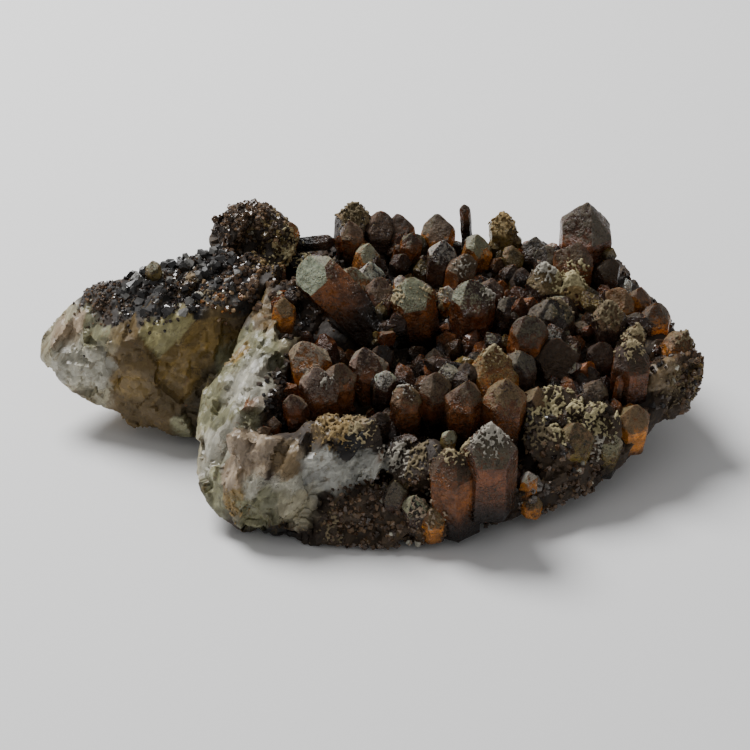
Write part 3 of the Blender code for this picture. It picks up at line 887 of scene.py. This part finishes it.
# The young points: small quartz crystals that fill the gaps between the large ones. They
# are glassy, with dark bodies, and darkened further with painted shade by how low they sit; they
# grew out of the matrix at all angles and stay below their neighbours. Others grew along the
# flanks of the large ones, parallel to them, with painted shade as deep as they drop below the
# tip.
YOUNG_TRIES = 700
YOUNG_REACH = 12.0
YOUNG_WIDTHS = (2.6, 7.0)
YOUNG_RISES = (0.7, 1.4)
YOUNG_BELOW = 3.5
LEAST_RISE = 0.8
LEAST_PARENT = 7.0
FLANK_SHARES = (0.22, 0.5)
FLANK_DROP = 3.0
RIM_STEP = 7.0
RIM_DROP = 9.0
RIM_SIDES = 8
ABOVE_ALL = 90.0
GROWTH = ((-26.0, 88.0), (10.0, 103.0))
CRUST_CORNER = (4.0, 24.0)


def ground_of(pieces):
    """The outside of these pieces, to set small things on, in millimetres."""
    whole = bmesh.new()
    for piece in pieces:
        whole.from_mesh(piece.data)
    whole.transform(place.inverted())
    tree = BVHTree.FromBMesh(whole)
    whole.free()
    return tree


def above_growth(chance):
    """A spot high above the part of the matrix that crystals grow on."""
    return Vector([chance.uniform(*ends) for ends in GROWTH] + [ABOVE_ALL])


def at_rim(spot, level):
    """Whether the ground falls away on any side of this spot."""
    for side in range(RIM_SIDES):
        turn = side * math.tau / RIM_SIDES
        beside = spot + RIM_STEP * Vector((math.cos(turn), math.sin(turn), 0))
        found = ground.ray_cast(beside, DOWN)[0]
        if found is None or found.z < level - RIM_DROP:
            return True
    return False


def low_crystal(tip, width, length, lean, film, body, shade, chance):
    """A small crystal with plain flat faces, darkened with painted shade as deep as it is told.
    """
    crystal = point(tip, width, length, lean, chance.uniform(0, 360 / SIDES), chance)
    coloured(crystal, leaning(*lean) @ -DOWN, film, body, chance)
    depths = crystal.verts.layers.float.new("depth")
    for vert in crystal.verts:
        below = (tip.z - vert.co.z) / length
        vert[depths] = min(1.0, shade + 0.6 * below)
    return crystal


chance = random.Random(5)
ground = ground_of([matrix, front_points, back_points])
tips = [Vector(row[:3]) for row in POINTS]
tree_of_tips = KDTree(len(tips))
for number, tip in enumerate(tips):
    tree_of_tips.insert((tip.x, tip.y, 0), number)
tree_of_tips.balance()
young_crystals = []
for _ in range(YOUNG_TRIES):
    spot = above_growth(chance)
    found = ground.ray_cast(spot, DOWN)[0]
    near = [tips[number].z for _, number, _ in
            tree_of_tips.find_range((spot.x, spot.y, 0), YOUNG_REACH)]
    under_crust = spot.x < CRUST_CORNER[0] and spot.y < CRUST_CORNER[1]
    if found is None or len(near) < 2 or under_crust or at_rim(spot, found.z):
        continue
    width = chance.uniform(*YOUNG_WIDTHS)
    rise = chance.uniform(*YOUNG_RISES) * width
    top = min(found.z + rise, sum(near) / len(near) - YOUNG_BELOW)
    if top < found.z + LEAST_RISE:
        continue
    lean = (chance.gauss(0, 22), chance.gauss(6, 20))
    film = chance.choice(("pink", "grey", "brown", "brown", "green"))
    body = chance.choice(("plum", "plum", "rust", "red", "brown", "olive"))
    # Each starts at its own depth of painted shade and darkens down its length.
    young_crystals.append(low_crystal(
        Vector((found.x, found.y, top)), width, rise + width, lean, film, body,
        chance.uniform(0.35, 0.75), chance))
for x, y, z, width, _, right, front, _, film, body in POINTS:
    if width < LEAST_PARENT:
        continue
    for _ in range(chance.choice((1, 2, 2, 3))):
        share = chance.uniform(*FLANK_SHARES)
        around = chance.uniform(0, math.tau)
        away = width * (0.56 - 0.34 * share)
        drop = width * (0.28 + chance.uniform(0.05, 0.75))
        low_tip = Vector((x, y, z)) + leaning(right, front) @ Vector(
            (away * math.cos(around), away * math.sin(around), -drop))
        lean = (right + chance.gauss(0, 3), front + chance.gauss(0, 3))
        if at_rim(low_tip, low_tip.z - FLANK_DROP):
            continue
        # Painted shade as deep as the crystal hangs below its parent's tip.
        young_crystals.append(low_crystal(
            low_tip, share * width, width, lean, film, body,
            drop / (SHADE_DEPTH * width), chance))
young_points = piece_of("young_points", gathered(young_crystals))
young_points.data.materials.append(glass.material)
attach(young_points, "root")

# The druse: a sparkling skin of tiny quartz crystals, grown on top of the left lobe, on the
# knob behind it and in the gaps. The grains in the deep gaps between the points are all dark:
# druse, and painted shade too, dark only where they lie deep below the tips. A bed has its
# middle, its reach, the number and size of its grains, and their colours.
DARK_GRAINS = ((0.016, 0.012, 0.011), (0.035, 0.024, 0.018), (0.06, 0.038, 0.024))
BROWN_GRAINS = ((0.045, 0.026, 0.014), (0.09, 0.05, 0.026), (0.14, 0.085, 0.045))
AMBER_GRAINS = ((0.20, 0.08, 0.018), (0.10, 0.04, 0.014), (0.26, 0.17, 0.09))
OLIVE_GRAINS = ((0.14, 0.10, 0.035), (0.22, 0.16, 0.07), (0.07, 0.045, 0.018))
GREY_GRAINS = ((0.14, 0.125, 0.11), (0.24, 0.22, 0.20), (0.07, 0.055, 0.045))
SHARDS = ((0.05, 0.048, 0.046), (0.16, 0.155, 0.145), (0.02, 0.018, 0.017))
BEDS = (
    (-58, 72, 39, 15, 90, 1.7, SHARDS),
    (-46, 74, 42, 14, 80, 1.6, SHARDS),
    (-60, 72, 38, 16, 1500, 0.55, DARK_GRAINS),
    (-44, 75, 42, 15, 1300, 0.6, DARK_GRAINS),
    (-74, 70, 35, 9, 350, 0.45, BROWN_GRAINS),
    (-52, 74, 40, 8, 260, 0.6, BROWN_GRAINS),
    (-36, 92, 46, 14, 1200, 0.7, BROWN_GRAINS),
    (-26, 90, 42, 9, 300, 0.8, OLIVE_GRAINS),
    (-42, 66, 39, 8, 120, 0.8, AMBER_GRAINS),
    (-33, 70, 40, 9, 200, 1.0, BROWN_GRAINS),
    (-18, 70, 36, 12, 300, 0.8, BROWN_GRAINS),
    (-2, 7, 6, 12.5, 620, 0.8, BROWN_GRAINS),
    (14, 6, 8, 14, 450, 0.8, BROWN_GRAINS),
    (40, 12, 12, 7, 160, 0.9, GREY_GRAINS),
    (50, 18, 10, 15, 380, 0.8, BROWN_GRAINS),
    (36, 95, 44, 10, 320, 1.0, OLIVE_GRAINS),
    (66, 74, 34, 9, 200, 0.9, OLIVE_GRAINS),
    (82, 52, 22, 12, 300, 0.9, BROWN_GRAINS),
    (14, 98, 38, 10, 200, 0.9, AMBER_GRAINS),
    (-23, 33, 27, 9, 260, 0.9, DARK_GRAINS),
)
GRAIN_SIDES = 5
GRAIN_LEAN = 0.45
GRAIN_LIFT = 0.22
PALE_SHARE = 0.03
BARE_LEVEL = -0.25
BARE_GRAIN = 3.5
# The dark grains of the deep gaps, druse that is also painted shade
GAP_GRAINS = 3200
GAP_GRAIN_SIZE = 0.9
GAP_DEPTH = 5.0
GAP_REACH = 1.2


def grain(spot, outward, size, colour, chance):
    """One tiny crystal point, set into the ground and leaning its own way."""
    shape = bmesh.new()
    radius = size * chance.uniform(0.5, 1.3)
    height = radius * chance.uniform(0.9, 1.5)
    bmesh.ops.create_cone(shape, cap_ends=True, segments=GRAIN_SIDES, radius1=radius,
                          radius2=radius * chance.uniform(0.1, 0.5), depth=height)
    lean = outward + astray(chance, GRAIN_LEAN)
    turn = lean.to_track_quat("Z", "Y").to_matrix().to_4x4()
    spin = Matrix.Rotation(chance.uniform(0, math.tau), 4, "Z")
    lift = Matrix.Translation((0, 0, height * GRAIN_LIFT))
    shape.transform(Matrix.Translation(spot) @ turn @ spin @ lift)
    layer = shape.verts.layers.float_color.new("grain_colour")
    shade = chance.uniform(0.6, 1.4)
    for vert in shape.verts:
        vert[layer] = tuple(c * shade for c in colour) + (1.0,)
    return shape


def near_by(middle, reach, under, chance):
    """A random spot of the ground round this middle, and which way is outward there."""
    way = astray(chance, 1).normalized()
    return under.find_nearest(middle + way * reach * chance.random() ** 0.5)[:2]


def grains_of(beds, chance):
    """The grains of all beds, then those of the gaps between the points, one by one."""
    for x, y, z, reach, count, size, colours in beds:
        middle = Vector((x, y, z))
        for _ in range(count):
            spot, outward = near_by(middle, reach, bare_ground, chance)
            covered = noise.noise(spot / BARE_GRAIN) > BARE_LEVEL
            if covered and (spot - middle).length < reach:
                colour = chance.choice(colours)
                if chance.random() < PALE_SHARE:
                    colour = MILK
                yield grain(spot, outward, size, colour, chance)
    # The gap grains are dark druse and painted shade too: only dark colours, laid only deep below
    # the tips.
    for _ in range(GAP_GRAINS):
        spot = above_growth(chance)
        found, outward, _, _ = ground.ray_cast(spot, DOWN)
        near = tree_of_tips.find((spot.x, spot.y, 0))[1]
        off_stone = bare_ground.find_nearest(found)[3] if found is not None else GAP_REACH
        if off_stone < GAP_REACH and found.z < tips[near].z - GAP_DEPTH:
            yield grain(found, outward, GAP_GRAIN_SIZE, chance.choice(DARK_GRAINS), chance)


bare_ground = ground_of([matrix])
druse = piece_of("druse", gathered(grains_of(BEDS, random.Random(8))))
sparkle = Finish("fine_druse")
grain_colour = sparkle.kept("grain_colour")
sparkle.looks(
    Base_Color=grain_colour.times(0.5 + sparkle.cloud(0.8)), IOR=QUARTZ_IOR,
    Roughness=0.10 + 0.35 * sparkle.cloud(2.0).step(0.4, 0.6),
    Normal=sparkle.bump(sparkle.cloud(0.4), 0.08, 0.5))
druse.data.materials.append(sparkle.material)
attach(druse, "root")

# The crust: dried clay and iron earth in a lacy, crumbling net over tops and hollows. A
# patch has its middle, its reach, the number and size of its crumbs, its colour, and whether
# it lies on the stone only or on all that is there.
PALE_TAN = (0.36, 0.29, 0.16)
OCHRE = (0.28, 0.19, 0.075)
CHALK = (0.38, 0.35, 0.29)
DULL_TAN = (0.20, 0.155, 0.085)
STRAW_CRUST = (0.42, 0.36, 0.195)
PATCHES = (
    (47, 29, 26, 12, 2100, 0.42, STRAW_CRUST, "stone"),
    (58, 30, 23, 9, 1000, 0.42, STRAW_CRUST, "stone"),
    (44, 25, 22, 6, 260, 0.40, DULL_TAN, "stone"),
    (58, 25, 17, 6, 260, 0.42, CHALK, "stone"),
    (-10, 16, 30, 10, 900, 0.45, OCHRE, "stone"),
    (-5, 15, 29, 7, 300, 0.40, PALE_TAN, "stone"),
    (30, 9, 33, 8.5, 520, 0.42, CHALK, "all"),
    (31, 63, 41, 3.5, 110, 0.36, CHALK, "all"),
    (2.5, 62, 42, 4, 130, 0.36, CHALK, "all"),
    (14, 61, 42, 3.5, 110, 0.36, PALE_TAN, "all"),
    (34, 67, 40, 3.5, 80, 0.36, CHALK, "all"),
    (24, 79, 40, 4.5, 110, 0.36, CHALK, "all"),
    (-13, 33, 33, 4, 90, 0.36, CHALK, "all"),
    (21, 8, 28, 6, 300, 0.42, PALE_TAN, "all"),
    (6, 14, 22, 7, 700, 0.40, CHALK, "all"),
    (12, 13, 22, 8, 500, 0.42, DULL_TAN, "all"),
    (1, 14, 14, 8, 420, 0.40, PALE_TAN, "all"),
    (13, 4, 11, 7, 260, 0.45, PINKISH, "all"),
    (54, 73, 40, 8.5, 1100, 0.50, STRAW_CRUST, "all"),
    (54, 71, 37, 6, 300, 0.45, OCHRE, "all"),
    (46, 74, 43, 6, 260, 0.42, CHALK, "all"),
    (63, 60, 37, 7, 300, 0.42, DULL_TAN, "all"),
    (70, 56, 33, 6, 280, 0.42, PALE_TAN, "all"),
    (68, 44, 37, 6, 200, 0.42, PALE_TAN, "all"),
    (84, 56, 31, 7, 220, 0.42, DULL_TAN, "all"),
    (82, 47, 22, 9, 420, 0.45, DULL_TAN, "stone"),
    (88, 54, 22, 5, 200, 0.42, OCHRE, "all"),
    (31, 41, 39, 8, 420, 0.40, PALE_TAN, "all"),
    (50, 60, 40, 7, 220, 0.38, DULL_TAN, "all"),
    (-23, 86, 41, 8, 700, 0.45, STRAW_CRUST, "all"),
    (-30, 79, 41, 6, 220, 0.42, OCHRE, "all"),
    (-6, 98, 46, 7, 220, 0.42, DULL_TAN, "all"),
    (6, 63, 40, 5, 220, 0.40, PALE_TAN, "all"),
    (18, 73, 31, 6, 260, 0.42, PALE_TAN, "all"),
    (7, 50, 24, 7, 260, 0.40, DULL_TAN, "stone"),
    (8, 31, 33, 5, 160, 0.38, CHALK, "all"),
    (-36, 7, 11, 6, 200, 0.42, OCHRE, "stone"),
    (-46, 66, 38, 6, 160, 0.42, DULL_TAN, "all"),
    (-50, 73, 40, 5, 220, 0.42, TAN, "all"),
    (35, 98, 45, 7, 260, 0.42, OCHRE, "all"),
    (-12, 4, 7, 9, 300, 0.42, DULL_TAN, "stone"),
)
NET_SIZE = 0.85
NET_WIDTH = 0.16
CRUMB_SIZE = 0.62
CRUMB_TRIES = 4
CRUST_CELL = 0.23
CRUST_GRAIN = 0.7
CRUST_RELIEF = 0.10
FRONT_HALF = 45


def crumb(spot, size, chance):
    """One crumb of earth, an uneven little lump."""
    shape = bmesh.new()
    bmesh.ops.create_icosphere(shape, subdivisions=1, radius=size)
    stretch = Matrix.Diagonal([chance.uniform(0.6, 1.5) for _ in range(3)]).to_4x4()
    turn = Euler([chance.uniform(0, 6.3) for _ in range(3)]).to_matrix().to_4x4()
    shape.transform(Matrix.Translation(spot) @ turn @ stretch)
    return shape


def crumbs_of(patches, chance):
    """The crumbs of some patches, one by one."""
    for x, y, z, reach, count, size, colour, lies_on in patches:
        middle = Vector((x, y, z))
        under = bare_ground if lies_on == "stone" else ground
        for _ in range(count * CRUMB_TRIES):
            spot, outward = near_by(middle, reach, under, chance)
            net = abs(noise.noise(spot / NET_SIZE))
            net += 0.4 * abs(noise.noise(spot / NET_SIZE * 2.3))
            edge = (spot - middle).length / reach
            ragged = 1 + 0.5 * noise.noise(spot / 3.0)
            if edge < ragged and net < NET_WIDTH * (2.2 - 1.4 * edge) and outward.z > -0.2:
                lift = chance.uniform(-0.2, 1.0) * size
                yield crumb(spot + outward * lift,
                            CRUMB_SIZE * size * chance.uniform(0.6, 1.2), chance)


earth = Finish("dried_earth")
crumb_colour = earth.kept("crumb_colour")
rough = earth.cloud(0.5, 4.0, 0.7)
shades = earth.cloud(1.8, 3.0, 0.6)
colour = crumb_colour.times((0.35 + 1.2 * shades) * (0.6 + 0.8 * rough))
colour = earth.mix(rough.step(0.42, 0.34) * 0.7, colour, UMBER)
earth.looks(
    Base_Color=colour, Roughness=0.75 + 0.2 * rough, Normal=earth.bump(rough, 0.25, 0.9))

chance = random.Random(13)
for name, patches in (("front_crust", [row for row in PATCHES if row[1] < FRONT_HALF]),
                      ("back_crust", [row for row in PATCHES if row[1] >= FRONT_HALF])):
    net = one_skin(gathered(crumbs_of(patches, chance)), CRUST_CELL)
    roughen(net, CRUST_GRAIN, CRUST_RELIEF)
    spots = places_of(net)
    nearest_patch = np.full(len(spots), np.inf)
    crust_colours = np.zeros((len(spots), 3))
    for x, y, z, reach, _, _, colour, _ in patches:
        away = np.linalg.norm(spots - np.array((x, y, z)), axis=1) / reach
        closer = away < nearest_patch
        crust_colours[closer] = colour
        nearest_patch[closer] = away[closer]
    crust = piece_of(name, net)
    keep_colours(crust.data, "crumb_colour", crust_colours)
    crust.data.materials.append(earth.material)
    shade_smooth(crust)
    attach(crust, "root")

# The clear flake: a thin chip of colourless quartz standing up at the right end, behind the
# last points, set in the stone by its foot. It is the one clear piece.
FLAKE_SPOT = Vector((69, 80, ABOVE_ALL))
FLAKE_SIZE = (4.2, 1.4, 9.5)
FLAKE_LEAN = (14, -6)
FLAKE_TURN = 22.92
FLAKE_TAPER = 0.56
FLAKE_SHOULDER = 0.34
FLAKE_SLANT = (0.5, 0.1, 0.85)
FLAKE_SUNK = 2.5
FLAKE_EDGE = 0.5
FLAKE_WEAR = 0.5
FLAKE_GRAIN = 1.2
FLAKE_RELIEF = 0.12

found = ground.ray_cast(FLAKE_SPOT, DOWN)[0]
splinter = bmesh.new()
bmesh.ops.create_cone(splinter, cap_ends=True, segments=5, radius1=0.5,
                      radius2=0.5 * FLAKE_TAPER, depth=1)
bmesh.ops.scale(splinter, verts=splinter.verts, vec=FLAKE_SIZE)
cut_off(splinter, (0, 0, FLAKE_SHOULDER * FLAKE_SIZE[2]), FLAKE_SLANT)
bmesh.ops.triangulate(splinter, faces=splinter.faces)
cut_finer(splinter, FLAKE_EDGE)
wear_down(splinter, FLAKE_WEAR)
roughen(splinter, FLAKE_GRAIN, FLAKE_RELIEF)
turn = Matrix.Rotation(math.radians(FLAKE_TURN), 3, "Z") @ leaning(*FLAKE_LEAN)
splinter.transform(turn.to_4x4())
splinter.transform(Matrix.Translation(
    found + Vector((0, 0, FLAKE_SIZE[2] / 2 - FLAKE_SUNK))))
flake = piece_of("clear_flake", splinter)
clear = Finish("clear_quartz")
veil = clear.cloud(1.6, 4.0, 0.6)
clear.looks(
    Base_Color=clear.mix(veil.step(0.45, 0.65), (0.88, 0.90, 0.84), (0.62, 0.64, 0.55)),
    Roughness=0.12 + 0.3 * veil.step(0.4, 0.7), IOR=QUARTZ_IOR, Transmission_Weight=0.7,
    Normal=clear.bump(veil, 0.2, 0.5))
flake.data.materials.append(clear.material)
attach(flake, "root")

# The floor: a plain sheet of pale paper, laid flat under the specimen and wide enough to
# fill the view.
FLOOR_HALF = 6.0
floor_shape = bmesh.new()
bmesh.ops.create_grid(floor_shape, x_segments=1, y_segments=1, size=FLOOR_HALF)
floor = as_object("floor", floor_shape)
paper = Finish("pale_paper")
paper.looks(Base_Color=(0.9, 0.9, 0.9), Roughness=0.8)
floor.data.materials.append(paper.material)
floor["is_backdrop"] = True

# The light: an even pale sky all round, and a wide soft lamp that hangs above, behind and to
# the left of the specimen.
SKY_STRENGTH = 0.32
LAMP_SIZE = 0.5
LAMP_POWER = 17.0
LAMP_PLACE = Vector((-0.45, 0.50, 0.85))
LAMP_AIM = Vector((0, 0, 0.02))
world = bpy.data.worlds.new("sky")
world.use_nodes = True
world.node_tree.nodes["Background"].inputs["Color"].default_value = (1.0, 1.0, 1.0, 1.0)
world.node_tree.nodes["Background"].inputs["Strength"].default_value = SKY_STRENGTH
bpy.context.scene.world = world
lamp_data = bpy.data.lights.new("soft_lamp", "AREA")
lamp_data.shape = "DISK"
lamp_data.size = LAMP_SIZE
lamp_data.energy = LAMP_POWER
lamp = bpy.data.objects.new("soft_lamp", lamp_data)
lamp.location = LAMP_PLACE
lamp.rotation_euler = (LAMP_AIM - LAMP_PLACE).to_track_quat("-Z", "Y").to_euler()
bpy.context.scene.collection.objects.link(lamp)

# The camera: a long lens in front of the specimen and above it, looking down at its middle
# as the photograph does.
CAMERA_DISTANCE = 1.0
CAMERA_ANGLE = math.radians(33)
LENS = 178.6
LENS_SHIFT = 0.006
look_at = place @ Vector((0, 50, 22))
camera_data = bpy.data.cameras.new("camera")
camera_data.sensor_width = 36.0
camera_data.lens = LENS
camera_data.shift_y = LENS_SHIFT
camera = bpy.data.objects.new("camera", camera_data)
camera.location = look_at + CAMERA_DISTANCE * Vector(
    (0, -math.cos(CAMERA_ANGLE), math.sin(CAMERA_ANGLE)))
camera.rotation_euler = (look_at - camera.location).to_track_quat("-Z", "Y").to_euler()
bpy.context.scene.collection.objects.link(camera)
bpy.context.scene.camera = camera

[[list(corner) for corner in size] for size in (size_of_part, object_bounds())]
